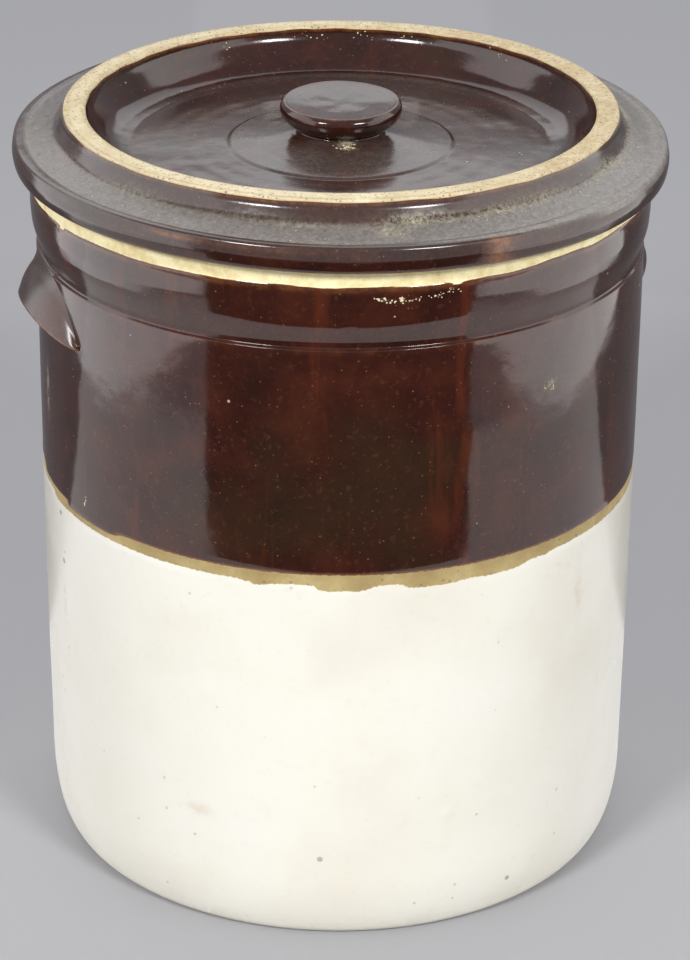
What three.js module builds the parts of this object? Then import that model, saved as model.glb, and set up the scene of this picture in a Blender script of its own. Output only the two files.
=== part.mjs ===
// Lidded stoneware storage crock, about 15 litres (four US gallons).
// Five fired-clay pieces: the thrown pot, two crescent lug ears luted to its
// wall, a flanged lid with a raised ring and a sunk dish, and the mushroom knob
// luted to the middle of the dish.
// Millimetres, +Z up. The origin is the centre of the flat base, where the pot
// stands. The two ears lie along X, both swung a little towards +Y.

import * as THREE from 'three';

// ---------------------------------------------------------------- dimensions
// Pot
const POT_H = 324.8;          // height of the rim
const BASE_R = 124.9;         // radius of the flat base
const FOOT_R = 9.8;           // how far the foot swells out above the base
const FOOT_H = 33.2;          // height of that swelling
const WALL_LOW_R = 134.7;     // outer radius just above the foot
const WALL_R = 135.6;         // outer radius from mid height to the shoulder
const GLAZE_Z = 180;          // height where the two glazes meet
const SHOULDER_Z = 287.0;     // top of the straight wall
const NECK_R = 134.3;         // outer radius in the crease above the shoulder
const NECK_Z = 288.8;
const COLLAR_Z = 304.0;       // where the collar becomes upright again
const COLLAR_R = 137.7;       // outer radius of the upright collar
const MOUTH_R = 124.2;        // inner radius of the mouth
const BORE_R = 124.7;         // inner radius of the pot
const FLOOR_T = 14.0;         // thickness of the bottom

// Lid
const SEAT_GAP = 0.3;         // lid flange over the rim, when closed
const FLANGE_Z0 = POT_H + SEAT_GAP;   // underside of the flange
const FLANGE_R = 145.0;       // largest radius of the lid
const PLUG_R = 118.8;         // radius of the locating plug under the lid
const PLUG_Z = 318.6;         // bottom of the plug
const RING_R = 122.0;         // outer radius of the raised ring
const RING_RI = 112.3;        // inner radius of the raised ring
const RING_Z = 348.3;         // top of the raised ring
const DISH_R = 97.6;          // outer radius of the dish floor
const DISH_Z = 329.3;         // lowest level of the dish floor
const PAD_R = 49.2;           // radius of the low pad in the middle
const PAD_EDGE_Z = 331.4;     // level of the pad at its edge
const PAD_TOP_R = 29.5;       // the pad rises gently inwards to this radius
const PAD_Z = 334.2;          // level of the pad round the knob

// Knob
const KNOB_Z0 = PAD_Z + 0.3;  // foot of the knob
const KNOB_TOP = 350.2;
const KNOB_R = 27.0;          // radius of the knob's disc
const KNOB_WAIST_R = 19.0;
const KNOB_FOOT_R = 25.0;

// Ears
const EAR_AZ_DEG = 2.7;       // each ear's centre line, swung from X to +Y
const EAR_HALF_DEG = 16.8;    // half the angle that an ear spans
const EAR_OUT = 9.4;          // how far the lip stands out from the root
const EAR_TOP_Z = 285.6;      // top of the root, close under the shoulder
const EAR_ARCH_Z = 287.3;     // crown of the arch that the root follows
const EAR_ARCH_DROP = 26.4;   // fall of that arch to the ear's ends
const EAR_LIP_Z = 268.2;      // lower edge of the lip, in the middle
const EAR_LIP_DROP = 8.4;     // fall of the lip to the ear's ends
const EAR_LIP_T = 3.4;        // thickness of the lip
const EAR_HOOK = 3.0;         // how far the underside is hollowed upwards
const EAR_GAP = 0.3;          // luted joint between ear and wall

const SEG_POT = 60;
const SEG_KNOB = 40;

// ------------------------------------------------------------------ helpers
function turned(points, segments) {
  const g = new THREE.LatheGeometry(
    points.map(([r, z]) => new THREE.Vector2(r, z)), segments);
  g.rotateX(Math.PI / 2);     // the turning axis becomes Z
  return g;
}

// Points on an ellipse about (cr, cz), from angle a0 to a1 in degrees.
function arc(cr, cz, rr, rz, a0, a1, n) {
  const out = [];
  for (let i = 0; i <= n; i++) {
    const a = THREE.MathUtils.degToRad(a0 + ((a1 - a0) * i) / n);
    out.push([cr + rr * Math.cos(a), cz + rz * Math.sin(a)]);
  }
  return out;
}

// ---------------------------------------------------------------------- pot
const potProfile = [
  [0, 0],
  ...arc(BASE_R, FOOT_H, FOOT_R, FOOT_H, -90, 0, 6),
  [WALL_LOW_R + 0.5, 90],
  [WALL_R, GLAZE_Z],
  [WALL_R, SHOULDER_Z - 1.2],
  [WALL_R - 0.4, SHOULDER_Z],
  [NECK_R + 0.3, SHOULDER_Z + 0.9],
  [NECK_R, NECK_Z],
  [NECK_R + 0.5, NECK_Z + 2.2],
  [NECK_R + 1.6, NECK_Z + 5.6],
  [NECK_R + 2.7, NECK_Z + 10.0],
  [COLLAR_R - 0.2, COLLAR_Z],
  [COLLAR_R, COLLAR_Z + 6],
  ...arc(COLLAR_R - 3.4, POT_H - 3.4, 3.4, 3.4, 0, 90, 3),
  ...arc(MOUTH_R + 3.0, POT_H - 3.0, 3.0, 3.0, 90, 180, 3),
  [MOUTH_R + 0.1, 306],
  [BORE_R, 292],
  [BORE_R, 42],
  ...arc(BORE_R - 27, FLOOR_T + 26, 27, 26, -12, -90, 5),
  [0, FLOOR_T],
];

// ---------------------------------------------------------------------- lid
const lidProfile = [
  [0, PLUG_Z],
  [PLUG_R - 6.2, PLUG_Z],
  [PLUG_R - 2.0, PLUG_Z + 0.8],
  [PLUG_R, PLUG_Z + 3.0],
  [PLUG_R + 0.2, FLANGE_Z0 - 0.7],
  [PLUG_R + 0.9, FLANGE_Z0],
  [FLANGE_R - 4.2, FLANGE_Z0],
  [FLANGE_R - 1.7, FLANGE_Z0 + 1.0],
  [FLANGE_R - 0.4, FLANGE_Z0 + 3.0],
  [FLANGE_R, FLANGE_Z0 + 5.6],
  [FLANGE_R - 0.5, FLANGE_Z0 + 8.4],
  [FLANGE_R - 1.9, FLANGE_Z0 + 10.7],
  [FLANGE_R - 4.1, FLANGE_Z0 + 11.7],
  [FLANGE_R - 5.9, FLANGE_Z0 + 11.3],
  [FLANGE_R - 7.2, FLANGE_Z0 + 11.2],
  [RING_R + 6.6, FLANGE_Z0 + 13.2],
  [RING_R + 3.6, FLANGE_Z0 + 14.1],
  [RING_R + 1.6, FLANGE_Z0 + 15.9],
  [RING_R + 0.5, FLANGE_Z0 + 18.7],
  [RING_R + 0.1, RING_Z - 1.9],
  [RING_R - 1.1, RING_Z - 0.5],
  [RING_R - 3.2, RING_Z],
  [RING_RI + 2.9, RING_Z],
  [RING_RI + 0.9, RING_Z - 0.6],
  [RING_RI - 0.1, RING_Z - 2.1],
  [RING_RI - 0.9, RING_Z - 5.5],
  [RING_RI - 3.4, RING_Z - 10.1],
  [RING_RI - 7.7, RING_Z - 14.7],
  [DISH_R + 1.9, DISH_Z + 1.1],
  [DISH_R - 3.6, DISH_Z],
  [PAD_R + 1.0, PAD_EDGE_Z - 0.7],
  [PAD_R - 0.4, PAD_EDGE_Z],
  [PAD_R - 11.2, PAD_EDGE_Z + 1.3],
  [PAD_TOP_R, PAD_Z],
  [0, PAD_Z],
];

// --------------------------------------------------------------------- knob
const knobProfile = [
  [0, KNOB_Z0],
  [KNOB_FOOT_R - 0.4, KNOB_Z0],
  [KNOB_FOOT_R, KNOB_Z0 + 0.4],
  [KNOB_WAIST_R + 3.9, KNOB_Z0 + 0.9],
  [KNOB_WAIST_R + 2.0, KNOB_Z0 + 1.6],
  [KNOB_WAIST_R + 0.6, KNOB_Z0 + 2.3],
  [KNOB_WAIST_R, KNOB_Z0 + 3.0],
  [KNOB_WAIST_R + 0.2, KNOB_Z0 + 3.4],
  [KNOB_WAIST_R + 1.4, KNOB_Z0 + 4.1],
  [KNOB_WAIST_R + 3.8, KNOB_Z0 + 5.4],
  [KNOB_R - 2.2, KNOB_TOP - 8.6],
  [KNOB_R - 0.8, KNOB_TOP - 6.5],
  [KNOB_R - 0.1, KNOB_TOP - 4.3],
  [KNOB_R, KNOB_TOP - 3.2],
  [KNOB_R - 0.2, KNOB_TOP - 2.0],
  [KNOB_R - 0.8, KNOB_TOP - 0.9],
  [KNOB_R - 1.8, KNOB_TOP - 0.2],
  [KNOB_R - 2.8, KNOB_TOP],
  [KNOB_R - 6.0, KNOB_TOP - 0.4],
  [KNOB_R - 13.0, KNOB_TOP - 0.8],
  [0, KNOB_TOP - 0.9],
];

// --------------------------------------------------------------------- ears
// One ear is a loft of cross sections turned about the pot's axis. s runs from
// -1 to 1 along the ear. The section is a drooping shelf: a sloped top, a
// rounded lip, and a hollowed underside that fingers reach into.
function earSection(s) {
  const u = Math.abs(s);
  const bow = Math.max(0, 1 - s * s);
  const out = 0.6 + EAR_OUT * Math.pow(bow, 0.52);
  const top = Math.min(EAR_TOP_Z, EAR_ARCH_Z - EAR_ARCH_DROP * Math.pow(u, 2.9));
  const low = EAR_LIP_Z - EAR_LIP_DROP * Math.pow(u, 1.4);
  const t = EAR_LIP_T * (0.30 + 0.70 * bow);
  const lipTop = low + t;
  const fall = top - lipTop;
  const r0 = WALL_R + EAR_GAP;
  return [
    [r0, top],
    [r0 + out * 0.18, top - fall * 0.10],
    [r0 + out * 0.46, top - fall * 0.38],
    [r0 + out * 0.76, top - fall * 0.73],
    [r0 + out * 0.95, lipTop - t * 0.05],
    [r0 + out, low + t * 0.52],
    [r0 + out * 0.94, low + t * 0.12],
    [r0 + out * 0.82, low],
    [r0 + out * 0.46, low + EAR_HOOK * 0.50 * bow],
    [r0 + out * 0.18, low + EAR_HOOK * 0.92 * bow],
    [r0, low + EAR_HOOK * bow],
  ];
}

function earGeometry() {
  const STATIONS = 22;
  const pos = [];
  const idx = [];
  let m = 0;
  for (let i = 0; i <= STATIONS; i++) {
    // stations crowd towards the ends, where the ear runs out
    const s = Math.sin(((i / STATIONS) * 2 - 1) * Math.PI / 2);
    const a = THREE.MathUtils.degToRad(EAR_HALF_DEG * s);
    const sec = earSection(s);
    m = sec.length;
    for (const [r, z] of sec) pos.push(r * Math.cos(a), r * Math.sin(a), z);
  }
  for (let i = 0; i < STATIONS; i++) {
    for (let j = 0; j < m; j++) {
      const k = (j + 1) % m;
      const a = i * m + j, b = i * m + k, c = (i + 1) * m + k, d = (i + 1) * m + j;
      idx.push(a, b, c, a, c, d);
    }
  }
  for (const [i, flip] of [[0, true], [STATIONS, false]]) {
    for (let j = 1; j < m - 1; j++) {
      const a = i * m, b = i * m + j, c = i * m + j + 1;
      if (flip) idx.push(a, c, b); else idx.push(a, b, c);
    }
  }
  const g = new THREE.BufferGeometry();
  g.setAttribute('position', new THREE.Float32BufferAttribute(pos, 3));
  g.setIndex(idx);
  g.computeVertexNormals();
  return g;
}

// ---------------------------------------------------------------- materials
const twoTone = new THREE.MeshStandardMaterial({ color: 0xe9e5d6, roughness: 0.22, metalness: 0 });
const brown = new THREE.MeshStandardMaterial({ color: 0x3b1a12, roughness: 0.16, metalness: 0 });

// ----------------------------------------------------------------- assembly
function piece(name, geometry, material) {
  const m = new THREE.Mesh(geometry, material);
  m.name = name;
  return m;
}

const crock = new THREE.Group();
crock.add(piece('crock_body', turned(potProfile, SEG_POT), twoTone));

const left = piece('ear_handle_left', earGeometry(), brown);
left.rotation.z = THREE.MathUtils.degToRad(180 - EAR_AZ_DEG);
crock.add(left);
const right = piece('ear_handle_right', earGeometry(), brown);
right.rotation.z = THREE.MathUtils.degToRad(EAR_AZ_DEG);
crock.add(right);

const lidGroup = new THREE.Group();
lidGroup.add(piece('lid', turned(lidProfile, SEG_POT), brown));
lidGroup.add(piece('lid_knob', turned(knobProfile, SEG_KNOB), brown));

const object = new THREE.Group();
object.add(crock, lidGroup);
export default object;
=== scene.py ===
# Butter crock: the finished look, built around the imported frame.
import bpy
import math
import numpy as np
from mathutils import Matrix, Vector


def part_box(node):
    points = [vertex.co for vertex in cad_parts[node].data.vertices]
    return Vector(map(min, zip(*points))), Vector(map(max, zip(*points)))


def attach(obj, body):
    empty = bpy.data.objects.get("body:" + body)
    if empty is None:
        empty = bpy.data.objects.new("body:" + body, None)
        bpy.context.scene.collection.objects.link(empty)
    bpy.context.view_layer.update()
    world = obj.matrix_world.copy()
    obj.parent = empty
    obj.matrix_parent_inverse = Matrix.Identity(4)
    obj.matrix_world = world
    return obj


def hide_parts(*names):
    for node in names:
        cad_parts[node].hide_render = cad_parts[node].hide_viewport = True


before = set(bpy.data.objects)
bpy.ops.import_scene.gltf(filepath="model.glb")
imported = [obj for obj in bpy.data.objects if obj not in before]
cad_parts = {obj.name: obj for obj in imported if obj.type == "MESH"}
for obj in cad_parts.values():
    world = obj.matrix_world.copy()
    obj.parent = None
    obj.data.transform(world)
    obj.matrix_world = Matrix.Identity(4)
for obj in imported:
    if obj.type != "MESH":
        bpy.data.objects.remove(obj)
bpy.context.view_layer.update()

scene = bpy.context.scene
scene.view_settings.view_transform = "Standard"
scene.view_settings.look = "None"

MM = 0.001
TURN = 19.3                      # the viewer's front is at azimuth 270 - TURN in the part's frame


def view_az(deg):
    """Azimuth in the part's frame of a direction given as seen by the viewer (270 = towards the viewer)."""
    return deg - TURN


# ------------------------------------------------------------------ camera
def make_camera():
    D, H = 1.41856, 0.83005
    p, roll = 0.4383, 0.0079
    rot = Matrix.Rotation(math.radians(-TURN), 3, "Z")
    rt, up, fw = Vector((1, 0, 0)), Vector((0, math.sin(p), math.cos(p))), Vector((0, math.cos(p), -math.sin(p)))
    r = rt * math.cos(roll) + up * math.sin(roll)
    u = up * math.cos(roll) - rt * math.sin(roll)
    m = Matrix((rot @ r, rot @ u, rot @ -fw)).transposed().to_4x4()
    m.translation = rot @ Vector((-0.0002, -D, H))
    data = bpy.data.cameras.new("camera")
    data.lens = 126.85
    data.sensor_width = 36.0
    data.shift_x = 0.00757
    data.clip_start, data.clip_end = 0.05, 60
    cam = bpy.data.objects.new("camera", data)
    scene.collection.objects.link(cam)
    cam.matrix_world = m
    scene.camera = cam
    return cam


make_camera()

# ----------------------------------------------------- sizes from the frame
pot_lo, pot_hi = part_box("crock_body")
lid_lo, lid_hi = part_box("lid")
knob_lo, knob_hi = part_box("lid_knob")
ear_lo, ear_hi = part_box("ear_handle_right")

POT_H = pot_hi.z / MM                        # rim height
COLLAR_R = pot_hi.x / MM                     # widest radius of the pot
WALL_R = COLLAR_R - 2.1
FLANGE_R = lid_hi.x / MM
RING_Z = lid_hi.z / MM
PLUG_Z = lid_lo.z / MM
FLANGE_Z0 = POT_H + 0.3
RING_R, RING_RI = FLANGE_R - 23.0, FLANGE_R - 32.7
DISH_R, DISH_Z = FLANGE_R - 47.4, RING_Z - 19.0
PAD_R, PAD_EDGE_Z, PAD_Z = FLANGE_R - 95.8, RING_Z - 16.9, RING_Z - 14.1
KNOB_R = knob_hi.x / MM
KNOB_TOP = knob_hi.z / MM
KNOB_FOOT_R = KNOB_R - 2.0
BASE_R, FOOT_R, FOOT_H = WALL_R - 10.7, 9.8, 33.2
SHOULDER_Z = POT_H - 37.8
NECK_R, NECK_Z = WALL_R - 1.3, POT_H - 36.0
MOUTH_R, BORE_R, FLOOR_T = COLLAR_R - 13.5, COLLAR_R - 13.0, 14.0


# ------------------------------------------------------------- field helpers
def waves(seed, n, amax, kz):
    """A smooth field over (azimuth, height) that closes on itself round the pot, about -1 to 1."""
    rng = np.random.default_rng(seed)
    terms = []
    for _ in range(n):
        terms.append((int(rng.integers(1, amax + 1)), rng.uniform(-kz, kz), rng.uniform(0, 2 * math.pi), rng.uniform(0.5, 1.0)))
    norm = math.sqrt(sum(t[3] ** 2 for t in terms) / 2) * 1.8

    def f(az, z=0.0):
        out = 0.0
        for a, k, ph, w in terms:
            out = out + w * np.sin(a * az + k * z + ph)
        return out / norm
    return f


def smooth(x, a, b):
    t = np.clip((x - a) / (b - a), 0, 1)
    return t * t * (3 - 2 * t)


def bump_at(az, centre_deg, width_deg):
    """1 at an azimuth (degrees, part frame) falling to 0 about width away."""
    d = (np.degrees(az) - centre_deg + 180) % 360 - 180
    return np.exp(-(d / width_deg) ** 2)


def fillet(points, n=6):
    """Polyline (r, z, radius) with its corners rounded to each point's radius."""
    out = []
    P = [np.array(p[:2], float) for p in points]
    for i, q in enumerate(points):
        rad = q[2] if len(q) > 2 else 0
        if rad <= 0 or i in (0, len(points) - 1):
            out.append(tuple(P[i]))
            continue
        a, b, c = P[i - 1], P[i], P[i + 1]
        u, v = (a - b) / np.linalg.norm(a - b), (c - b) / np.linalg.norm(c - b)
        ang = math.acos(np.clip(u @ v, -1, 1))
        if ang > math.pi - 1e-3:
            out.append(tuple(b))
            continue
        t = min(rad / math.tan(ang / 2), 0.48 * np.linalg.norm(a - b), 0.48 * np.linalg.norm(c - b))
        p0, p1 = b + u * t, b + v * t
        for k in range(n + 1):
            s = k / n
            out.append(tuple((1 - s) ** 2 * p0 + 2 * s * (1 - s) * b + s * s * p1))
    return out


def densify(poly, step):
    """Adds points so that no span is longer than step(r, z)."""
    out = [poly[0]]
    for a, b in zip(poly[:-1], poly[1:]):
        L = math.hypot(b[0] - a[0], b[1] - a[1])
        n = max(1, int(math.ceil(L / step((a[0] + b[0]) / 2, (a[1] + b[1]) / 2))))
        for k in range(1, n + 1):
            out.append((a[0] + (b[0] - a[0]) * k / n, a[1] + (b[1] - a[1]) * k / n))
    return out


def revolve(name, poly, na, shape=None, layers=None, extra=None):
    """A closed turned body. poly starts and ends on the axis. shape(r, z, az, i) moves the
    points; layers(r, z, az, i) gives named 0..1 fields that the material reads."""
    poly = np.array(poly)
    az = np.arange(na) * 2 * math.pi / na
    ring = poly[1:-1]
    nr = len(ring)
    R, A = np.meshgrid(ring[:, 0], az, indexing="ij")
    Z, _ = np.meshgrid(ring[:, 1], az, indexing="ij")
    I = np.repeat(np.arange(nr)[:, None], na, 1)
    R0, Z0 = R.copy(), Z.copy()
    if shape is not None:
        R, Z = shape(R, Z, A, I)
    V = np.empty((nr * na + 2, 3))
    V[:nr * na, 0] = (R * np.cos(A)).ravel()
    V[:nr * na, 1] = (R * np.sin(A)).ravel()
    V[:nr * na, 2] = Z.ravel()
    V[-2] = (0, 0, Z[0].mean() if shape is not None else poly[0, 1])
    V[-1] = (0, 0, Z[-1].mean() if shape is not None else poly[-1, 1])
    i = np.arange(nr - 1)[:, None] * na
    j = np.arange(na)[None, :]
    jn = (j + 1) % na
    quads = np.stack([i + j, i + jn, i + na + jn, i + na + j], -1).reshape(-1, 4)
    faces = quads.tolist()
    faces += [[nr * na, (k + 1) % na, k] for k in range(na)]
    top = (nr - 1) * na
    faces += [[nr * na + 1, top + k, top + (k + 1) % na] for k in range(na)]
    nv = len(V)
    if extra is not None:
        faces += [[nv + k for k in face] for face in extra[1]]
        V = np.vstack([V, extra[0]])
    mesh = bpy.data.meshes.new(name)
    mesh.from_pydata((V * MM).tolist(), [], faces)
    for p in mesh.polygons:
        p.use_smooth = True
    if layers is not None:
        for key, val in layers(R0, Z0, A, I).items():
            full = np.zeros(len(V))
            full[:nr * na] = np.broadcast_to(val, R0.shape).ravel()
            full[nv - 2], full[nv - 1] = np.mean(full[:na]), np.mean(full[nr * na - na:nr * na])
            if extra is not None:
                full[nv:] = extra[2].get(key, 0.0)
            at = mesh.attributes.new(key, "FLOAT", "POINT")
            at.data.foreach_set("value", full.astype(np.float32))
    mesh.update()
    obj = bpy.data.objects.new(name, mesh)
    scene.collection.objects.link(obj)
    return obj


def specks(spots, seed):
    """Little crusted lumps: each spot is (azimuth in degrees, surface radius, height, size,
    how proud), standing out from a wall; or with a sixth value "up", standing on a level face."""
    rng = np.random.default_rng(seed)
    V, F = [], []
    for spot in spots:
        az, r, z, size, proud = spot[:5]
        a = math.radians(az)
        out = np.array((math.cos(a), math.sin(a), 0.0))
        side = np.array((-math.sin(a), math.cos(a), 0.0))
        up = np.array((0.0, 0.0, 1.0))
        c = out * r + up * z
        n, e1, e2 = (up, side, out) if len(spot) > 5 else (out, side, up)
        base = len(V)
        k = 8
        ph = rng.uniform(0, 6.28)
        stretch = rng.uniform(0.7, 1.35)
        for lat in (-20, 15, 48):
            for m in range(k):
                t = ph + 2 * math.pi * m / k
                w = size * rng.uniform(0.75, 1.2) * math.cos(math.radians(lat))
                V.append(c + e1 * w * stretch * math.cos(t) + e2 * w / stretch * math.sin(t) + n * proud * math.sin(math.radians(lat)))
        V.append(c + n * proud * rng.uniform(0.85, 1.1))
        V.append(c - n * proud * 0.6)
        for row in range(2):
            for m in range(k):
                q = (m + 1) % k
                F.append([base + row * k + m, base + row * k + q, base + (row + 1) * k + q, base + (row + 1) * k + m])
        for m in range(k):
            F.append([base + 2 * k + m, base + 2 * k + (m + 1) % k, base + 3 * k])
            F.append([base + (m + 1) % k, base + m, base + 3 * k + 1])
    return np.array(V), F


# ---------------------------------------------------------------- materials
class Tree:
    """A short way to write shader nodes."""

    def __init__(self, name):
        self.mat = bpy.data.materials.new(name)
        self.mat.use_nodes = True
        self.nt = self.mat.node_tree
        self.nt.nodes.clear()
        self.out = self.nt.nodes.new("ShaderNodeOutputMaterial")
        self.bsdf = self.nt.nodes.new("ShaderNodeBsdfPrincipled")
        self.nt.links.new(self.bsdf.outputs[0], self.out.inputs[0])
        self.co = self.nt.nodes.new("ShaderNodeTexCoord").outputs["Object"]

    def link(self, a, b):
        if isinstance(a, (int, float)):
            b.default_value = a
        elif isinstance(a, (tuple, list)):
            b.default_value = tuple(a) + ((1.0,) if len(a) == 3 and len(b.default_value) == 4 else ())
        else:
            self.nt.links.new(a, b)

    def attr(self, name):
        n = self.nt.nodes.new("ShaderNodeAttribute")
        n.attribute_name = name
        return n.outputs["Fac"]

    def math(self, op, a, b=0.0, c=0.0, clamp=False):
        n = self.nt.nodes.new("ShaderNodeMath")
        n.operation = op
        n.use_clamp = clamp
        for v, s in zip((a, b, c), n.inputs):
            self.link(v, s)
        return n.outputs[0]

    def mapping(self, scale=(1, 1, 1), loc=(0, 0, 0), rot=(0, 0, 0), vec=None):
        n = self.nt.nodes.new("ShaderNodeMapping")
        self.link(vec if vec is not None else self.co, n.inputs["Vector"])
        n.inputs["Scale"].default_value = scale
        n.inputs["Location"].default_value = loc
        n.inputs["Rotation"].default_value = rot
        return n.outputs[0]

    def noise(self, scale, detail=3.0, rough=0.5, dist=0.0, vec=None):
        n = self.nt.nodes.new("ShaderNodeTexNoise")
        self.link(vec if vec is not None else self.co, n.inputs["Vector"])
        n.inputs["Scale"].default_value = scale
        n.inputs["Detail"].default_value = detail
        n.inputs["Roughness"].default_value = rough
        n.inputs["Distortion"].default_value = dist
        return n.outputs["Fac"]

    def cells(self, scale, vec=None, feature="F1", out="Distance", rnd=1.0):
        n = self.nt.nodes.new("ShaderNodeTexVoronoi")
        n.feature = feature
        self.link(vec if vec is not None else self.co, n.inputs["Vector"])
        n.inputs["Scale"].default_value = scale
        n.inputs["Randomness"].default_value = rnd
        return n

    def ramp(self, fac, stops, interp="LINEAR"):
        n = self.nt.nodes.new("ShaderNodeValToRGB")
        n.color_ramp.interpolation = interp
        e = n.color_ramp.elements
        while len(e) < len(stops):
            e.new(0.5)
        for el, (pos, col) in zip(e, stops):
            el.position = pos
            if isinstance(col, (int, float)):
                col = (col, col, col)
            el.color = tuple(col) + (1.0,)
        self.link(fac, n.inputs[0])
        return n.outputs[0]

    def step(self, fac, lo, hi):
        """0 below lo, 1 above hi."""
        n = self.nt.nodes.new("ShaderNodeMapRange")
        n.interpolation_type = "SMOOTHSTEP"
        self.link(fac, n.inputs[0])
        n.inputs[1].default_value, n.inputs[2].default_value = lo, hi
        n.inputs[3].default_value, n.inputs[4].default_value = 0.0, 1.0
        return n.outputs[0]

    def mix(self, fac, a, b, blend="MIX"):
        n = self.nt.nodes.new("ShaderNodeMix")
        n.data_type = "RGBA"
        n.blend_type = blend
        self.link(fac, n.inputs["Factor"])
        self.link(a, n.inputs[6])
        self.link(b, n.inputs[7])
        return n.outputs[2]

    def mixf(self, fac, a, b):
        n = self.nt.nodes.new("ShaderNodeMix")
        n.data_type = "FLOAT"
        self.link(fac, n.inputs["Factor"])
        self.link(a, n.inputs[2])
        self.link(b, n.inputs[3])
        return n.outputs[0]

    def bump(self, height, distance, strength=1.0, normal=None):
        n = self.nt.nodes.new("ShaderNodeBump")
        n.inputs["Distance"].default_value = distance
        n.inputs["Strength"].default_value = strength
        self.link(height, n.inputs["Height"])
        if normal is not None:
            self.link(normal, n.inputs["Normal"])
        return n.outputs[0]

    def mul(self, a, b):
        return self.math("MULTIPLY", a, b, clamp=True)

    def inv(self, a):
        return self.math("SUBTRACT", 1.0, a, clamp=True)

    def top(self, a, b):
        return self.math("MAXIMUM", a, b)


def speckle(t, scale, size, share, seed=0.0):
    """Sparse round dots: share is how many cells hold one, size is the dot's radius in cells."""
    vec = t.mapping(loc=(seed, seed * 0.7, seed * 1.3))
    c = t.cells(scale, vec)
    dot = t.inv(t.step(c.outputs["Distance"], size * 0.6, size))
    pick = t.nt.nodes.new("ShaderNodeSeparateColor")
    t.link(c.outputs["Color"], pick.inputs[0])
    keep = t.math("LESS_THAN", pick.outputs[0], share)
    return t.mul(dot, keep), pick.outputs[1]


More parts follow.
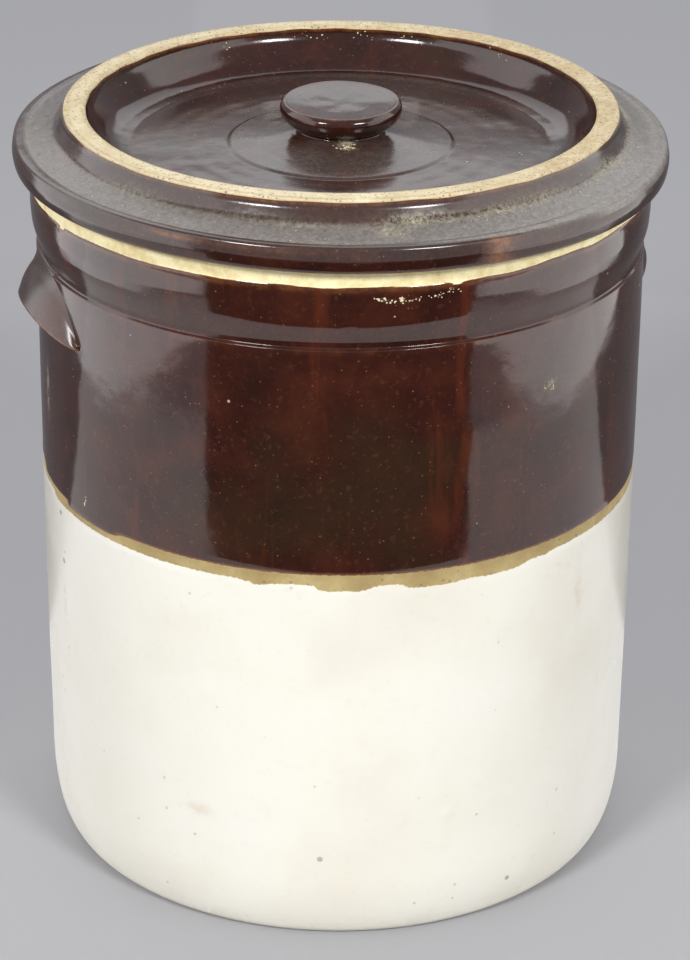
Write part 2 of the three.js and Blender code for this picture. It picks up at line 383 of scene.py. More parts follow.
def stoneware(name, tone=1.0, rust=1.0, dull=0.0, relief=0.00045):
    """Brown slip glaze, cream glaze and bare clay, chosen by the mesh's own fields:
    brown, white (bare clay is what is left), cream, thin, dust, stain."""
    t = Tree(name)
    # ---- brown slip glaze
    broad = t.noise(9, 3, 0.55)
    mottle = t.noise(46, 5, 0.62, 0.3)
    run = t.noise(1.0, 4, 0.6, 0.4, t.mapping(scale=(70, 70, 9)))
    fine = t.noise(420, 3, 0.6)
    k = tone
    base = t.ramp(mottle, [(0.28, (0.020 * k, 0.0052 * k, 0.0035 * k)),
                           (0.50, (0.036 * k, 0.0085 * k, 0.0050 * k)),
                           (0.74, (0.060 * k, 0.0150 * k, 0.0075 * k))])
    base = t.mix(t.mul(t.step(broad, 0.52, 0.68), 0.55), base, (0.026 * k, 0.017 * k, 0.0075 * k))
    base = t.mix(t.mul(t.step(run, 0.56, 0.74), 0.55 * rust), base, (0.105 * k, 0.022 * k, 0.008 * k))
    base = t.mix(t.mul(t.step(fine, 0.56, 0.72), 0.45), base, (0.095 * k, 0.034 * k, 0.016 * k))
    fleck, fleck_hue = speckle(t, 620, 0.26, 0.07, 0.31)
    base = t.mix(t.mul(fleck, 0.5), base, t.ramp(fleck_hue, [(0.0, (0.20, 0.060, 0.014)), (0.5, (0.10, 0.055, 0.016)), (1.0, (0.30, 0.16, 0.07))]))
    thin = t.mul(t.attr("thin"), t.step(t.noise(160, 4, 0.6), 0.22, 0.60))
    base = t.mix(thin, base, t.ramp(t.noise(300, 3), [(0.3, (0.16, 0.045, 0.012)), (0.7, (0.33, 0.125, 0.035))]))
    pin, _ = speckle(t, 170, 0.085, 0.06, 1.7)
    pin2, _ = speckle(t, 70, 0.055, 0.10, 4.2)
    pins = t.top(pin, pin2)
    base = t.mix(t.mul(pins, 0.85), base, (0.50, 0.38, 0.24))
    # fine scratches, long in one direction and only here and there
    sc = t.noise(1.0, 1, 0.4, 0.0, t.mapping(scale=(900, 900, 55), rot=(0.5, 0.3, 0.4)))
    sc2 = t.noise(1.0, 1, 0.4, 0.0, t.mapping(scale=(60, 1100, 1100), rot=(0.2, 0.9, 0.5)))
    where = t.step(t.noise(22, 2), 0.60, 0.70)
    scr = t.mul(t.top(t.step(sc, 0.80, 0.84), t.step(sc2, 0.80, 0.84)), where)
    base = t.mix(t.mul(scr, 0.6), base, (0.34, 0.24, 0.15))
    # ---- cream glaze
    wn = t.noise(14, 4, 0.55)
    white = t.ramp(wn, [(0.30, (0.800, 0.765, 0.655)), (0.52, (0.845, 0.820, 0.720)), (0.75, (0.870, 0.850, 0.765))])
    white = t.mix(t.mul(t.step(t.noise(260, 4, 0.65), 0.55, 0.75), 0.12), white, (0.60, 0.54, 0.42))
    spot, _ = speckle(t, 110, 0.10, 0.20, 2.9)
    spot2, hue2 = speckle(t, 34, 0.055, 0.22, 7.7)
    white = t.mix(t.mul(spot, 0.45), white, (0.40, 0.32, 0.22))
    white = t.mix(t.mul(spot2, 0.60), white, t.ramp(hue2, [(0.0, (0.30, 0.20, 0.10)), (1.0, (0.10, 0.085, 0.07))]))
    smudge = t.mul(t.step(t.noise(30, 5, 0.7, 0.6), 0.60, 0.80), 0.22)
    white = t.mix(smudge, white, (0.66, 0.55, 0.37))
    stain = t.mul(t.attr("stain"), t.step(t.noise(110, 4, 0.65, 0.5), 0.40, 0.66))
    white = t.mix(t.mul(stain, 0.34), white, (0.52, 0.36, 0.15))
    # ---- bare clay
    grain = t.noise(700, 4, 0.7)
    clay = t.ramp(t.noise(60, 4, 0.6), [(0.3, (0.33, 0.235, 0.090)), (0.55, (0.42, 0.315, 0.130)), (0.8, (0.52, 0.41, 0.19))])
    clay = t.mix(t.mul(t.step(grain, 0.52, 0.70), 0.35), clay, (0.27, 0.185, 0.085))
    cspot, _ = speckle(t, 300, 0.26, 0.20, 5.1)
    clay = t.mix(t.mul(cspot, 0.55), clay, (0.16, 0.095, 0.045))
    cream = t.ramp(t.noise(75, 5, 0.62), [(0.3, (0.60, 0.49, 0.29)), (0.55, (0.77, 0.68, 0.45)), (0.8, (0.87, 0.80, 0.60))])
    cream = t.mix(t.mul(t.step(grain, 0.54, 0.72), 0.40), cream, (0.36, 0.27, 0.15))
    crspot, _ = speckle(t, 640, 0.36, 0.34, 8.3)
    crspot2, _ = speckle(t, 230, 0.15, 0.30, 3.3)
    rimtint = t.mul(t.attr("stain"), t.step(t.noise(150, 5, 0.7, 0.5), 0.30, 0.60))
    cream = t.mix(t.mul(rimtint, 0.55), cream, (0.40, 0.25, 0.085))
    crdark = t.mul(t.step(t.noise(330, 5, 0.75, 0.8), 0.58, 0.66), 0.75)
    cream = t.mix(crdark, cream, (0.24, 0.155, 0.07))
    cream = t.mix(t.mul(t.top(crspot, crspot2), 0.70), cream, (0.13, 0.075, 0.035))
    # painted light: a paler copy of the bare clay, used on the band under the rim, stands in for light reaching under
    # the lid's flange; the lower bare band keeps the plain clay colour
    pale = t.ramp(t.noise(120, 4, 0.6), [(0.3, (0.72, 0.58, 0.28)), (0.55, (0.93, 0.83, 0.48)), (0.8, (0.96, 0.90, 0.62))])
    pale = t.mix(t.mul(t.step(grain, 0.55, 0.72), 0.30), pale, (0.42, 0.30, 0.13))
    clay = t.mix(t.attr("pale"), clay, pale)
    clay = t.mix(t.attr("cream"), clay, cream)
    # ---- choose
    fb, fw = t.attr("brown"), t.attr("white")
    jitter = t.math("MULTIPLY", t.math("SUBTRACT", t.noise(520, 3, 0.6), 0.5), 0.55)
    fb = t.step(t.math("ADD", fb, jitter), 0.42, 0.58)
    fw = t.step(t.math("ADD", fw, jitter), 0.42, 0.58)
    col = t.mix(fw, clay, white)
    col = t.mix(fb, col, base)
    # a rust line where the brown glaze thins out at its edge
    edge = t.mul(t.step(fb, 0.02, 0.35), t.inv(t.step(t.attr("brown"), 0.62, 0.98)))
    col = t.mix(t.mul(edge, 0.75), col, (0.20, 0.065, 0.018))
    # ---- dust and film lying on the glaze
    dn = t.noise(260, 6, 0.72, 0.4)
    dust = t.mul(t.attr("dust"), t.math("ADD", 0.62, t.math("MULTIPLY", t.step(dn, 0.30, 0.70), 0.38)))
    dcol = t.ramp(t.noise(640, 4, 0.7), [(0.3, (0.17, 0.155, 0.135)), (0.6, (0.31, 0.295, 0.265)), (0.85, (0.54, 0.52, 0.46))])
    col = t.mix(dust, col, dcol)
    grime = t.mul(t.attr("grime"), t.step(t.noise(520, 5, 0.75, 0.6), 0.38, 0.58))
    col = t.mix(t.mul(grime, 0.85), col, t.ramp(t.noise(800, 3, 0.6), [(0.35, (0.20, 0.18, 0.10)), (0.65, (0.58, 0.53, 0.38))]))
    t.link(col, t.bsdf.inputs["Base Color"])
    # ---- roughness
    rb = t.math("ADD", 0.055 + dull, t.math("MULTIPLY", t.noise(33, 5, 0.65), 0.085))
    rb = t.math("ADD", rb, t.math("MULTIPLY", t.top(t.top(pins, scr), fleck), 0.25))
    rw = t.math("ADD", 0.16, t.math("MULTIPLY", t.noise(28, 4, 0.6), 0.16))
    rc = t.mixf(t.attr("cream"), 0.88, 0.72)
    rough = t.mixf(fw, rc, rw)
    rough = t.mixf(fb, rough, rb)
    rough = t.mixf(dust, rough, 0.46)
    rough = t.mixf(grime, rough, 0.85)
    t.link(rough, t.bsdf.inputs["Roughness"])
    t.bsdf.inputs["IOR"].default_value = 1.52
    t.bsdf.inputs["Specular IOR Level"].default_value = 0.5
    # ---- relief too fine for the mesh
    glass = t.math("ADD", t.math("MULTIPLY", t.noise(38, 2, 0.5), 1.0), t.math("MULTIPLY", t.noise(130, 3, 0.55), 0.16))
    gpit = t.math("MULTIPLY", t.top(pins, t.mul(fleck, 0.3)), -0.10)
    hb = t.math("ADD", glass, gpit)
    hw = t.math("ADD", t.math("MULTIPLY", t.noise(60, 3, 0.55), 0.55), t.math("MULTIPLY", t.top(spot, spot2), -0.35))
    hc = t.math("ADD", t.math("MULTIPLY", grain, 0.5), t.math("MULTIPLY", t.noise(1500, 2, 0.6), 0.2))
    h = t.mixf(fw, hc, hw)
    h = t.mixf(fb, h, hb)
    h = t.math("ADD", h, t.math("MULTIPLY", dust, t.math("MULTIPLY", t.noise(900, 3, 0.7), 0.10)))
    t.link(t.bump(h, relief, 0.55), t.bsdf.inputs["Normal"])
    return t.mat


MAT_POT = stoneware("two_tone_stoneware", 1.0)
MAT_LID = stoneware("lid_stoneware", 0.82, 0.5, 0.035, 0.0007)
MAT_EAR = stoneware("ear_stoneware", 1.0, 1.0, 0.17, 0.0003)

# --------------------------------------------------------------------- pot
POT_GLAZE_LOW = 183.1        # lower edge of the brown glaze, at the front
POT_WHITE_TOP = 177.4        # upper edge of the cream glaze, at the front
POT_BAND_LOW = 316.4         # lower edge of the bare band under the rim
wob_edge = waves(11, 9, 23, 0.0)
wob_edge2 = waves(12, 9, 60, 0.0)
wob_edge3 = waves(13, 10, 26, 0.0)
wob_body = waves(21, 12, 5, 0.030)
wob_fine = waves(22, 14, 24, 0.16)


def tilt(az):
    """The dipped glaze line is a little out of level round the pot."""
    a = az + math.radians(TURN)
    return 3.1 * (np.sin(a) + 1) - 0.8 * np.cos(a)


def brown_low(az):
    left = bump_at(az, view_az(212), 22)
    return POT_GLAZE_LOW + tilt(az) - 2.9 * left + 0.26 * wob_edge(az) + 0.08 * wob_edge2(az)


def white_top(az):
    return POT_WHITE_TOP + tilt(az) + 0.28 * wob_edge3(az) + 0.07 * wob_edge2(az + 1.3)


def band_low(az):
    drips = 2.0 * bump_at(az, view_az(210.5), 0.9) + 1.6 * bump_at(az, view_az(290.6), 1.1) + 0.8 * bump_at(az, view_az(120), 1.4)
    ragged = 0.24 + 0.42 * smooth(np.cos(az - math.radians(view_az(312))), 0.1, 1.0)
    return POT_BAND_LOW + ragged * (wob_edge(az + 2.0) + 0.30 * wob_edge2(az + 0.4)) - drips


def arc(cr, cz, rr, rz, a0, a1, n):
    return [(cr + rr * math.cos(math.radians(a0 + (a1 - a0) * i / n)),
             cz + rz * math.sin(math.radians(a0 + (a1 - a0) * i / n))) for i in range(n + 1)]


outer = [(0, 0), (BASE_R - 2.2, 0)]
outer += [(r, z) for r, z in arc(BASE_R, FOOT_H, FOOT_R, FOOT_H, -88, 0, 26)]
outer += fillet([
    (BASE_R + FOOT_R, FOOT_H), (BASE_R + FOOT_R + 0.5, 90), (WALL_R, 180),
    (WALL_R, SHOULDER_Z, 0.5), (NECK_R, SHOULDER_Z + 0.9, 0.7), (NECK_R + 0.3, NECK_Z + 1.6, 6),
    (NECK_R + 2.9, NECK_Z + 10.5, 22), (COLLAR_R, NECK_Z + 18, 30), (COLLAR_R, POT_H, 3.4),
    (MOUTH_R, POT_H, 3.0), (MOUTH_R, 300, 8), (BORE_R, 290, 8), (BORE_R, FLOOR_T, 26), (0, FLOOR_T)], 8)[1:]


def pot_step(r, z):
    if r < 100:
        return 8.0
    if r > 130:
        if 170 < z < 192:
            return 0.42
        if 309 < z < 322:
            return 0.42
        if 282 < z < 300:
            return 0.9
        return 2.6
    return 3.2


pot_poly = densify(outer, pot_step)
n_out = max(i for i, p in enumerate(pot_poly) if p[1] > POT_H - 1e-6 and p[0] > (COLLAR_R + MOUTH_R) / 2)
COAT = 0.42


def pot_fields(R, Z, A, I):
    out_side = (I <= n_out)
    wall = out_side & (R > WALL_R - 4)
    zb, zw, zc = brown_low(A), white_top(A), band_low(A)
    brown = smooth(Z, zb - 0.30, zb + 0.30) * (1 - smooth(Z, zc - 0.30, zc + 0.30)) * out_side
    white = (1 - smooth(Z, zw - 0.30, zw + 0.30)) * out_side * smooth(R, BASE_R - 1.0, BASE_R + 1.2)
    inside = (~out_side) * (1 - smooth(Z, POT_H - 5.2, POT_H - 4.6))
    brown = np.maximum(brown, inside)
    return brown, white, out_side


def pot_shape(R, Z, A, I):
    brown, white, out_side = pot_fields(R, Z, A, I)
    wall = smooth(Z, 2, 25) * (1 - smooth(Z, POT_H - 6, POT_H - 1))
    dr = 0.17 * wob_body(A, Z) + 0.035 * wob_fine(A, Z)
    # the wheel's faint rings inside
    ring_in = (~out_side) * 0.22 * np.sin(Z * 0.42 + 0.6 * np.sin(Z * 0.11)) * smooth(Z, 45, 70) * (1 - smooth(Z, 285, 300))
    # coat thickness, a little fuller just behind each free edge
    zb, zw, zc = brown_low(A), white_top(A), band_low(A)
    lip = np.exp(-((Z - zb - 0.9) / 0.8) ** 2) + np.exp(-((Z - zw + 0.9) / 0.8) ** 2) + 0.7 * np.exp(-((Z - zc + 0.9) / 0.9) ** 2)
    coat = COAT * (brown + white * 1.1) + 0.13 * lip * out_side * np.maximum(brown, white)
    sign = np.where(out_side, 1.0, -1.0)
    side = np.where(out_side, smooth(R, BASE_R - 1, BASE_R + 4), smooth(R, BORE_R - 12, BORE_R - 1))
    dz_in = (~out_side) * (R < BORE_R - 8) * (COAT * 0.8 + 0.25 * np.sin(R * 0.35) * smooth(R, 8, 20))
    # two small lumps under the cream glaze, low on the front
    lump = 0
    for vaz, zz, h, w in ((291.5, 62, 0.75, 4.6), (289.8, 46, 0.6, 3.6), (318, 96, 0.35, 5), (246, 120, 0.3, 6), (236, 74, 0.3, 4.5), (275, 150, 0.25, 4), (272, 299, 0.32, 1.8), (272.1, 297, 0.30, 1.5), (285.5, 277, 0.30, 1.8), (285.6, 274.5, 0.28, 1.6), (270, 304, 0.25, 1.6), (268.6, 303.5, 0.22, 1.4)):
        d2 = (((np.degrees(A) - view_az(vaz) + 180) % 360 - 180) * math.radians(1) * WALL_R) ** 2 + (Z - zz) ** 2
        lump = lump + h * np.exp(-d2 / (w * 0.5) ** 2)
    R2 = R + side * (dr * wall + sign * (coat - COAT * 0.9)) + ring_in + lump * out_side * side
    # a shallow hollow in the underside, inside the foot line
    hollow = np.where(out_side & (Z < 0.5), 0.7 * (1 - smooth(R, BASE_R - 16, BASE_R - 10)), 0)
    rim = 0.12 * wob_edge(A * 1.0) * smooth(Z, POT_H - 8, POT_H) * 0.5
    return R2, np.maximum(Z + dz_in + hollow + np.where(Z > POT_H - 1, np.minimum(rim, 0), 0), 0.0)


def pot_layers(R, Z, A, I):
    brown, white, out_side = pot_fields(R, Z, A, I)
    shoulder = np.exp(-((Z - (SHOULDER_Z - 0.4)) / 0.9) ** 2) * out_side
    thin = 0.14 * shoulder * (0.5 + 0.5 * wob_edge2(A)) + 0.35 * np.exp(-((Z - band_low(A) + 1.2) / 1.3) ** 2) * out_side
    stain = 0
    for vaz, zz, wa, wz in ((321.5, 150, 1.4, 11), (317, 168, 3.5, 3), (331, 95, 0.8, 6), (243, 60, 3, 3), (205, 130, 1.5, 9)):
        stain = stain + bump_at(A, view_az(vaz), wa) * np.exp(-((Z - zz) / wz) ** 2)
    foot = (1 - smooth(Z, 3, 16)) * 0.35 * out_side
    grime = 0
    for vaz, zz, wa, wz in ((311.5, 258, 1.3, 2.6), (198, 228, 0.9, 12)):
        grime = grime + bump_at(A, view_az(vaz), wa) * np.exp(-((Z - zz) / wz) ** 2)
    # from z 300 up the bare clay takes its paler copy: painted light on the band under the rim, making up for the shade
    # of the lid's flange
    return {"brown": brown, "white": white, "thin": np.clip(thin, 0, 1), "stain": np.clip(stain + foot, 0, 1),
            "dust": 0.0 * R, "cream": 0.0 * R, "pale": smooth(Z, 300, 305), "grime": np.clip(grime * 0.8, 0, 1) * (brown > 0.5) * out_side}


# crusts of kiln grit on the collar, and a few elsewhere
grit_rng = np.random.default_rng(77)
grit = []
for az0, z0, wa, wz, n, big in ((277.5, 311.0, 1.5, 1.2, 26, 0.62), (280.6, 310.4, 1.6, 1.3, 34, 0.66), (283.6, 310.6, 1.2, 1.0, 16, 0.5), (287.2, 311.3, 1.3, 1.7, 22, 0.5),
                                (289.6, 313.0, 1.1, 1.3, 12, 0.42), (271.5, 303.5, 4.0, 3.0, 8, 0.34), (311.5, 258, 1.2, 2.0, 10, 0.40), (214.8, 190, 0.6, 2.0, 9, 0.5),
                                (150, 262, 5, 7, 12, 0.4), (70, 300, 8, 6, 14, 0.45), (20, 230, 9, 16, 10, 0.35)):
    for _ in range(n):
        az = view_az(az0) + grit_rng.normal(0, wa * 0.6)
        z = z0 + grit_rng.normal(0, wz * 0.7)
        r = float(np.interp(z, [180, SHOULDER_Z, NECK_Z, NECK_Z + 10.5, NECK_Z + 18, POT_H], [WALL_R, WALL_R, NECK_R, NECK_R + 2.7, COLLAR_R - 0.1, COLLAR_R]))
        size = big * grit_rng.uniform(0.35, 1.15)
        grit.append((az, r, z - 0.6, size * 0.85, size * 0.5))
gv, gf = specks(grit, 5)
pot = revolve("stoneware_pot", pot_poly, 432, pot_shape, pot_layers, (gv, gf, {"cream": 1.0, "pale": 1.0}))
pot.data.materials.append(MAT_POT)

# --------------------------------------------------------------------- lid
lid_pts = fillet([
    (0, PLUG_Z + 0.6), (PLUG_Z * 0 + 108, PLUG_Z + 0.3, 14), (118.6, PLUG_Z, 2.6), (119.0, FLANGE_Z0, 1.2),
    (FLANGE_R - 0.9, FLANGE_Z0, 3.0), (FLANGE_R, FLANGE_Z0 + 6.0, 9), (FLANGE_R - 1.1, FLANGE_Z0 + 11.9, 3.4),
    (FLANGE_R - 4.6, FLANGE_Z0 + 11.9, 1.6), (FLANGE_R - 6.5, FLANGE_Z0 + 11.0, 0.9), (RING_R + 8.0, FLANGE_Z0 + 12.9, 6),
    (RING_R + 3.9, FLANGE_Z0 + 14.7, 5), (RING_R + 0.6, RING_Z - 3.4, 5), (RING_R, RING_Z, 1.5),
    (RING_RI, RING_Z, 1.8), (RING_RI - 0.6, RING_Z - 5, 10), (DISH_R + 5.4, DISH_Z + 1.6, 17),
    (DISH_R - 4, DISH_Z - 0.1, 12), (PAD_R + 1.3, PAD_EDGE_Z - 0.8, 1.6), (PAD_R - 0.6, PAD_EDGE_Z + 0.15, 1.6), (PAD_R - 11, PAD_EDGE_Z + 1.35, 20), (30.5, PAD_Z - 0.1, 20), (25.2, PAD_Z + 1.0, 14), (21.8, PAD_Z + 1.9, 5), (19.9, PAD_Z + 2.9, 1.5), (19.0, PAD_Z + 3.1, 0.4), (0, PAD_Z + 3.1)], 8)


def lid_step(r, z):
    if r > 109 and z > RING_Z - 6:
        return 0.40
    if r < 52 and r > 44:
        return 0.5
    if r > FLANGE_R - 9:
        return 0.8
    if r > 60:
        return 2.0
    return 3.0


lid_poly = densify(lid_pts, lid_step)
n_lid_top = next(i for i, p in enumerate(lid_poly) if p[1] > FLANGE_Z0 + 6.0)
wob_lid = waves(31, 10, 7, 0.05)
wob_lid2 = waves(32, 12, 30, 0.2)
wob_crown = waves(33, 10, 40, 0.0)


def sag(A):
    """The flange has slumped a little on one side in the kiln."""
    return 2.3 * (0.5 + 0.5 * np.cos(A - math.radians(view_az(338)))) ** 1.6


def lid_shape(R, Z, A, I):
    top = I >= n_lid_top
    dz = 0.10 * wob_lid(A, R * 0.2) + 0.03 * wob_lid2(A, R)
    dz = dz * np.where(R < 20, smooth(R, 0, 20), 1)
    # throwing rings in the dish
    rings = top * 0.028 * np.sin(R * 0.72 + 0.8 * np.sin(R * 0.13)) * smooth(R, 50, 58) * (1 - smooth(R, DISH_R - 8, DISH_R + 2))
    out = smooth(R, RING_R + 5, FLANGE_R)
    cover = smooth(np.cos(A - math.radians(view_az(10))), -0.35, 0.75)
    fall = -sag(A) * out + top * 0.75 * cover * np.exp(-((R - (FLANGE_R - 6.3)) / 1.5) ** 2)
    dR = 0.10 * wob_lid(A + 1.0, Z * 0.1) * smooth(R, 60, 100)
    keep_seat = np.where((~top) & (R < COLLAR_R + 1), 0.0, 1.0)
    crown = (Z > RING_Z - 0.4) & top & (R > 100)
    return R + dR, Z + dz * keep_seat * np.where(crown, 0.5, 1) + rings + fall * keep_seat


def lid_layers(R, Z, A, I):
    top = I >= n_lid_top
    near_crown = (R > RING_RI - 6) & (R < RING_R + 4) & top
    edge_z = RING_Z - 1.15 + 0.30 * wob_crown(A + (R > 117) * 2.0)
    cream = smooth(Z, edge_z - 0.25, edge_z + 0.25) * near_crown
    under = ~top & (R < FLANGE_R - 2.2)
    brown = np.where(under, 0.0, 1.0) * (1 - cream)
    brown = np.where((~top) & (R >= FLANGE_R - 2.2), smooth(Z, FLANGE_Z0 + 0.2, FLANGE_Z0 + 1.4), brown)
    cover = smooth(np.cos(A - math.radians(view_az(10))), -0.35, 0.75)
    edge_r = FLANGE_R - 5.2 + 4.6 * cover + 0.5 * wob_lid2(A, 1.0)
    flange = top * smooth(R, RING_R + 3.5, RING_R + 6.0) * (1 - smooth(R, edge_r - 0.7, edge_r + 0.7)) * (Z > FLANGE_Z0 + 8.5)
    dust = 0.62 * flange * (0.85 + 0.25 * cover) + 0.20 * top * (R < DISH_R) * (0.6 + 0.4 * wob_lid(A, R * 0.1)) + 0.12 * top * (R < PAD_R) * smooth(R, 22, 32) + 0.10 * top * (R > RING_R)
    thin = 0.5 * top * near_crown * np.exp(-((Z - edge_z + 0.7) / 0.6) ** 2) \
        + 0.75 * bump_at(A, view_az(297), 2.2) * smooth(R, FLANGE_R - 3, FLANGE_R - 1) \
        + (0.10 + 0.95 * bump_at(A, view_az(240), 16)) * np.exp(-((Z - FLANGE_Z0 - 9.6) / 0.9) ** 2) * (R > FLANGE_R - 3) * (0.4 + 0.6 * wob_lid2(A, 0))
    crease = top * np.exp(-((R - RING_R - 5.0 - 0.8 * wob_lid2(A, 2.0)) / 1.9) ** 2)
    grime = 0.85 * crease * (0.6 + 0.4 * wob_lid2(A + 0.7, 0)) * (0.35 + 0.65 * smooth(np.cos(A - math.radians(view_az(330))), -0.1, 0.9)) \
        + 0.35 * top * np.exp(-((R - FLANGE_R + 6.6) / 0.8) ** 2) * (0.4 + 0.6 * wob_lid2(A, 3.0)) \
        + top * bump_at(A, view_az(277), 9) * (1 - smooth(R, 23.5, 26.5)) * smooth(R, 18, 20) \
        + 0.8 * top * bump_at(A, view_az(279), 3.0) * np.exp(-((R - RING_R - 9.5) / 2.5) ** 2)
    rim = np.exp(-((R - RING_RI - 1.2) / 0.9) ** 2) + np.exp(-((R - RING_R + 1.3) / 0.9) ** 2)
    rim = np.maximum(rim, smooth(RING_Z - Z, 0.1, 0.9)) * near_crown
    rim = rim + near_crown * (1.0 * smooth(np.cos(A - math.radians(view_az(8))), 0.0, 0.9) + 0.25 * smooth(np.cos(A - math.radians(view_az(150))), 0.3, 1.0) + 0.15)
    return {"brown": brown, "white": 0.0 * R, "thin": np.clip(thin, 0, 1), "stain": np.clip(rim, 0, 1),
            "dust": np.clip(dust, 0, 1), "cream": np.clip(cream, 0, 1), "pale": 0.0 * R, "grime": np.clip(grime, 0, 1)}


lid_grit = []
for _ in range(120):
    az = view_az(330 + grit_rng.normal(0, 38))
    r = RING_R + 5.6 + grit_rng.normal(0, 1.7)
    zz = float(np.interp(r, [RING_R + 2, RING_R + 4.5, RING_R + 8], [FLANGE_Z0 + 16.2, FLANGE_Z0 + 14.2, FLANGE_Z0 + 12.95]))
    size = grit_rng.uniform(0.10, 0.30)
    lid_grit.append((az, r, zz - float(sag(np.array(math.radians(az)))) * smooth(np.array(r), RING_R + 5, FLANGE_R), size, size * 0.6, "up"))
for _ in range(60):
    az = view_az(grit_rng.uniform(0, 360))
    r = grit_rng.uniform(RING_R + 7, FLANGE_R - 7)
    zz = float(np.interp(r, [RING_R + 8, FLANGE_R - 6.5], [FLANGE_Z0 + 12.9, FLANGE_Z0 + 11.2]))
    size = grit_rng.uniform(0.12, 0.34)
    lid_grit.append((az, r, zz - float(sag(np.array(math.radians(az)))) * smooth(np.array(r), RING_R + 5, FLANGE_R), size, size * 0.5, "up"))
for az0, z0, n, wa in ((96, 343.0, 7, 2.2), (84, 344.6, 6, 1.6), (73, 343.5, 9, 2.0), (48, 344.0, 4, 1.2), (120, 342, 4, 3.0)):
    for _ in range(n):
        zz = z0 + grit_rng.normal(0, 1.0)
        r = float(np.interp(zz, [338.2, 342.8, 346.2], [109.0, 111.2, 112.0]))
        size = grit_rng.uniform(0.2, 0.5)
        lid_grit.append((view_az(az0 + grit_rng.normal(0, wa)), r, zz, size, size * 0.6))
for _ in range(26):
    r = grit_rng.uniform(20.6, 24.5)
    lid_grit.append((view_az(276.5 + grit_rng.normal(0, 6.5)), r, float(np.interp(r, [20, 21.8, 25.2, 30.5], [PAD_Z + 2.6, PAD_Z + 1.8, PAD_Z + 0.95, PAD_Z])), grit_rng.uniform(0.16, 0.5), 0.3, "up"))
lv, lf = specks(lid_grit, 6)
lid = revolve("stoneware_lid", lid_poly, 432, lid_shape, lid_layers, (lv, lf, {"cream": 1.0}))
lid.data.materials.append(MAT_LID)

# -------------------------------------------------------------------- knob
K0 = PAD_Z + 0.3
knob_pts = fillet([
    (0, K0 - 0.6), (KNOB_FOOT_R + 4.5, K0 - 0.75, 0.1), (KNOB_FOOT_R - 1.6, K0 + 0.7, 7), (20.3, K0 + 2.0, 3.0), (19.0, K0 + 3.1, 1.6),
    (20.4, K0 + 4.1, 1.6), (22.8, K0 + 5.4, 5), (24.9, KNOB_TOP - 8.6, 6), (26.4, KNOB_TOP - 6.2, 4), (KNOB_R, KNOB_TOP - 4.0, 3),
    (KNOB_R - 0.45, KNOB_TOP - 1.9, 2.6), (KNOB_R - 1.75, KNOB_TOP - 0.15, 1.0), (KNOB_R - 3.2, KNOB_TOP - 0.40, 2.0), (14, KNOB_TOP - 1.0, 14), (6, KNOB_TOP - 1.15, 3), (0, KNOB_TOP - 1.2)], 8)
knob_poly = densify(knob_pts, lambda r, z: 0.9)
wob_knob = waves(41, 9, 5, 0.2)
wob_knob2 = waves(42, 9, 17, 0.5)


def knob_shape(R, Z, A, I):
    s = smooth(Z, K0 + 0.4, K0 + 3)
    dr = (0.22 * wob_knob(A, Z) + 0.05 * wob_knob2(A, Z)) * s
    chip = 0.9 * bump_at(A, view_az(277), 8) * np.exp(-((Z - (K0 + 2.6)) / 1.5) ** 2)
    # the disc leans a little towards the viewer
    lean = 0.022 * R * np.cos(A - math.radians(view_az(90))) * smooth(Z, K0 + 4, KNOB_TOP - 5)
    return R + (dr - chip) * smooth(R, 3, 14), Z - 0.15 * smooth(Z, K0 + 5, KNOB_TOP) + lean + 0.06 * wob_knob(A + 2, R) * s * smooth(R, 2, 10)


def knob_layers(R, Z, A, I):
    face = smooth(Z, KNOB_TOP - 1.6, KNOB_TOP - 1.1) * (R < KNOB_R - 1.5)
    crease = np.exp(-((R - (KNOB_R - 1.9)) / 0.55) ** 2) * (Z > KNOB_TOP - 2)
    thin = 0.75 * crease * (0.30 + 0.45 * wob_knob2(A, 0))
    chip = bump_at(A, view_az(277), 9) * np.exp(-((Z - (K0 + 2.4)) / 2.4) ** 2)
    chip = np.maximum(chip, 0.7 * bump_at(A, view_az(273), 7) * np.exp(-((Z - K0 - 0.4) / 1.2) ** 2))
    foot = smooth(R, 21, 27) * (Z < K0 + 2.5) * 0.35
    return {"brown": 0.0 * R + 1.0, "white": 0.0 * R, "thin": np.clip(thin, 0, 1), "stain": 0.0 * R,
            "dust": np.clip(0.15 * face + foot, 0, 1), "cream": 0.0 * R, "pale": 0.0 * R, "grime": np.clip(chip, 0, 1)}


knob = revolve("knob", knob_poly, 256, knob_shape, knob_layers)
knob.data.materials.append(MAT_LID)


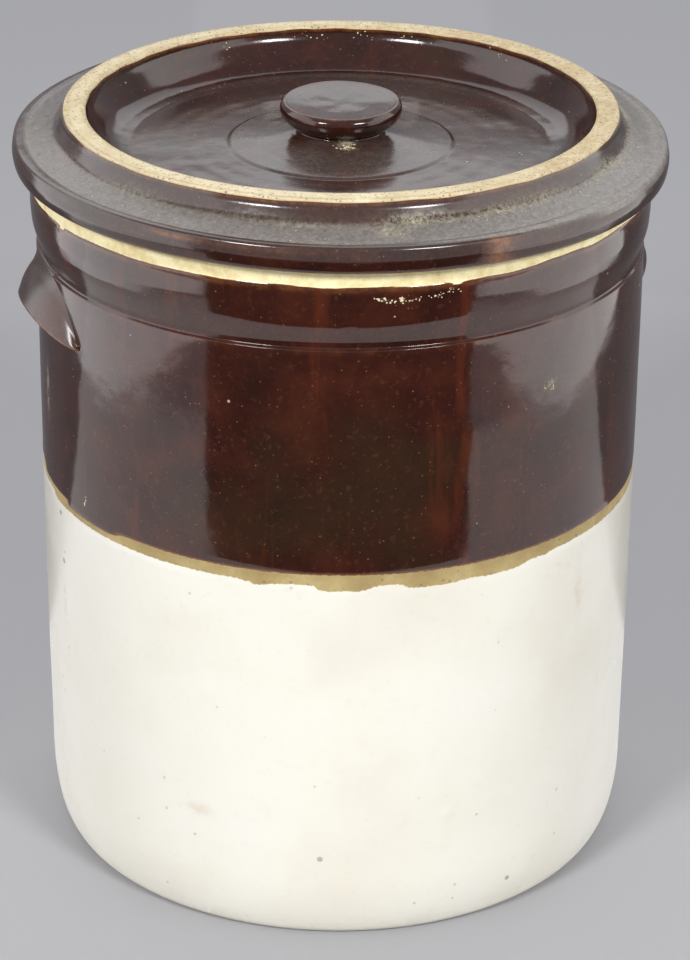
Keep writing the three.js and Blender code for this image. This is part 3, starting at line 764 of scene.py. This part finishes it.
# -------------------------------------------------------------------- ears
def make_ear(name, centre_deg, seed):
    """A crescent lug, pressed and smeared on to the wall."""
    NS, NP = 110, 60
    wob = waves(seed, 8, 4, 0.6)
    P, F = [], {"thin": [], "grime": []}
    half = math.radians(17.7)
    for i in range(NS + 1):
        s = math.sin((i / NS * 2 - 1) * math.pi / 2)
        u = abs(s)
        bow = max(0.0, 1 - s * s)
        out = 0.25 + 9.6 * bow ** 0.66
        arch = (POT_H - 37.5) - 26.4 * u ** 2.9
        top = -math.log(math.exp(-(arch) / 1.2 + 240) + math.exp(-(POT_H - 39.0) / 1.2 + 240)) * 1.2 + 288.0
        low = (POT_H - 56.6) - 8.4 * (math.sqrt(u * u + 0.02) - math.sqrt(0.02)) ** 1.3
        t = 3.4 * (0.30 + 0.70 * bow)
        lt = low + t
        fall = top - lt
        r0 = WALL_R
        sec = [(r0 - 2.4, top + 3.2 * bow + 0.8), (r0 - 0.25, top + 3.0 * bow), (r0 + out * 0.05, top + 0.6 * bow), (r0 + out * 0.20, top - fall * 0.16), (r0 + out * 0.46, top - fall * 0.38),
               (r0 + out * 0.76, top - fall * 0.70), (r0 + out * 0.96, lt - t * 0.02), (r0 + out * 1.01, low + t * 0.50),
               (r0 + out * 0.94, low + t * 0.06), (r0 + out * 0.80, low - t * 0.02), (r0 + out * 0.46, low + 3.0 * 0.55 * bow),
               (r0 + out * 0.14, low + 3.0 * 0.75 * bow), (r0 + 0.1, low + 0.9 * bow), (r0 - 2.4, low - 0.9 * bow - 0.5)]
        sec = np.array(sec)
        # smooth the section: a Catmull-Rom through the points
        tt = np.linspace(0, len(sec) - 1 - 1e-6, NP)
        k = tt.astype(int)
        f = (tt - k)[:, None]
        g = lambda n: sec[np.clip(k + n, 0, len(sec) - 1)]
        q = 0.5 * ((2 * g(0)) + (-g(-1) + g(1)) * f + (2 * g(-1) - 5 * g(0) + 4 * g(1) - g(2)) * f ** 2 + (-g(-1) + 3 * g(0) - 3 * g(1) + g(2)) * f ** 3)
        a = math.radians(centre_deg) + half * s * 1.0
        for m in range(NP):
            r, z = q[m]
            w = 0.16 * wob(i / NS * 5.0 + seed, z) * min(1, max(0, (r - r0) / 3))
            P.append(((r + w) * math.cos(a) * MM, (r + w) * math.sin(a) * MM, (z + 0.5 * w) * MM))
            lipness = math.exp(-((tt[m] - 7.1) / 0.6) ** 2)
            F["thin"].append(min(1.0, 0.80 * lipness))
            F["grime"].append(0.0)
    faces = []
    for i in range(NS):
        for m in range(NP):
            n = (m + 1) % NP
            faces.append([i * NP + m, i * NP + n, (i + 1) * NP + n, (i + 1) * NP + m])
    faces.append([m for m in range(NP)][::-1])
    faces.append([NS * NP + m for m in range(NP)])
    mesh = bpy.data.meshes.new(name)
    mesh.from_pydata(P, [], faces)
    for p in mesh.polygons:
        p.use_smooth = True
    n = len(P)
    for key, val in (("brown", np.ones(n)), ("white", np.zeros(n)), ("thin", np.array(F["thin"])), ("stain", np.zeros(n)),
                     ("dust", np.full(n, 0.05)), ("cream", np.zeros(n)), ("pale", np.zeros(n)), ("grime", np.array(F["grime"]))):
        at = mesh.attributes.new(key, "FLOAT", "POINT")
        at.data.foreach_set("value", val.astype(np.float32))
    mesh.update()
    obj = bpy.data.objects.new(name, mesh)
    scene.collection.objects.link(obj)
    obj.data.materials.append(MAT_EAR)
    return obj


ear_r = make_ear("ear_right", 2.7, 51)
ear_l = make_ear("ear_left", 180 - 2.7, 52)

for obj, body, node, slot in ((pot, "crock", "crock_body", "two_tone_stoneware"), (ear_l, "crock", "ear_handle_left", "brown_glaze"),
                              (ear_r, "crock", "ear_handle_right", "brown_glaze"), (lid, "lid", "lid", "lid_brown_glaze"),
                              (knob, "lid", "lid_knob", "lid_brown_glaze")):
    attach(obj, body)
    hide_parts(node)

# ------------------------------------------------------------ floor, light
def plane(name, corners, material):
    mesh = bpy.data.meshes.new(name)
    mesh.from_pydata(corners, [], [list(range(len(corners)))])
    obj = bpy.data.objects.new(name, mesh)
    scene.collection.objects.link(obj)
    obj.data.materials.append(material)
    return obj


floor_mat = bpy.data.materials.new("floor")
floor_mat.use_nodes = True
fb = floor_mat.node_tree.nodes["Principled BSDF"]
fb.inputs["Base Color"].default_value = (0.40, 0.40, 0.415, 1)
fb.inputs["Roughness"].default_value = 0.75
plane("floor", [(-9, -9, 0), (9, -9, 0), (9, 9, 0), (-9, 9, 0)], floor_mat)

card_mat = bpy.data.materials.new("dark_card")
card_mat.use_nodes = True
cb = card_mat.node_tree.nodes["Principled BSDF"]
cb.inputs["Base Color"].default_value = (0.012, 0.012, 0.013, 1)
cb.inputs["Roughness"].default_value = 1.0
card_pale_mat = bpy.data.materials.new("pale_card")
card_pale_mat.use_nodes = True
cp = card_pale_mat.node_tree.nodes["Principled BSDF"]
cp.inputs["Base Color"].default_value = (0.92, 0.91, 0.89, 1)
cp.inputs["Roughness"].default_value = 1.0
card_side_mat = bpy.data.materials.new("dim_card")
card_side_mat.use_nodes = True
cs = card_side_mat.node_tree.nodes["Principled BSDF"]
cs.inputs["Base Color"].default_value = (0.16, 0.155, 0.16, 1)
cs.inputs["Roughness"].default_value = 1.0


def world_from_view(x, y, z=0.0):
    a = math.radians(-TURN)
    return (x * math.cos(a) - y * math.sin(a), x * math.sin(a) + y * math.cos(a), z)


# a dark card on the floor in front, seen only as a reflection in the glaze
def edge_pt(side, t, ang=50.5):
    return (side * (0.0575 + t * math.sin(math.radians(ang))), -(0.123 + t * math.cos(math.radians(ang))))


card = plane("dark_card", [world_from_view(*edge_pt(-1, 0.40), 0.004), world_from_view(*edge_pt(-1, 1.5), 0.004),
                           world_from_view(*edge_pt(1, 1.5), 0.004), world_from_view(*edge_pt(1, 0.40), 0.004)], card_mat)
cards = [card]
for side in (-1, 1):
    cards.append(plane("dark_card_side", [world_from_view(side * 0.12, 0.16, 0.004), world_from_view(side * 2.2, 0.16, 0.004),
                                          world_from_view(side * 2.2, 3.2, 0.004), world_from_view(side * 0.12, 3.2, 0.004)], card_side_mat))
# a pale card round the foot, which the narrowing neck shows
ring = [(0.68 * math.cos(i * math.pi / 24), 0.68 * math.sin(i * math.pi / 24), 0.003) for i in range(48)]
cards.append(plane("pale_card", ring, card_pale_mat))
for c in cards:
    c.visible_camera = False
    c.visible_diffuse = False
    c.visible_shadow = False
    c.visible_transmission = False


GAIN = 1.25


def area(name, centre, target, sx, sy, radiance, color=(1, 1, 1)):
    data = bpy.data.lights.new(name, "AREA")
    data.shape = "RECTANGLE"
    data.size, data.size_y = sx, sy
    data.energy = GAIN * radiance * math.pi * sx * sy
    data.color = color
    obj = bpy.data.objects.new(name, data)
    scene.collection.objects.link(obj)
    c, g = Vector(world_from_view(*centre)), Vector(world_from_view(*target))
    obj.rotation_euler = (g - c).to_track_quat("-Z", "Y").to_euler()
    obj.location = c
    obj.visible_camera = False
    return obj


for side in (-1, 1):
    tag = "left" if side < 0 else "right"
    tint = (1.0, 0.985, 1.0) if side < 0 else (1.0, 0.985, 0.96)
    # a long softbox beside the crock: its shine, then its soft fill
    shine = area("panel_" + tag, (side * 0.66, -0.135, 0.50), (0, -0.135, 0.50), 0.97, 1.0, 1.62, tint)
    shine.visible_diffuse = False
    fill = area("fill_" + tag, (side * 1.3, -0.1, 0.9), (0, 0, 0.2), 1.2, 1.2, 0.15 if side < 0 else 0.10, tint)
    fill.visible_glossy = False
    area("key_" + tag, (side * 1.15, -1.75, 1.58), (0, 0, 0.22), 0.50, 0.42, 41 if side < 0 else 38)
back = area("back", (0, 2.6, 2.45), (0, 0, 0.35), 5.2, 2.2, 1.12, (0.97, 0.98, 1.0))

world = bpy.data.worlds.new("world")
scene.world = world
world.use_nodes = True
bg = world.node_tree.nodes["Background"]
bg.inputs[0].default_value = (0.32, 0.32, 0.34, 1)
bg.inputs[1].default_value = GAIN
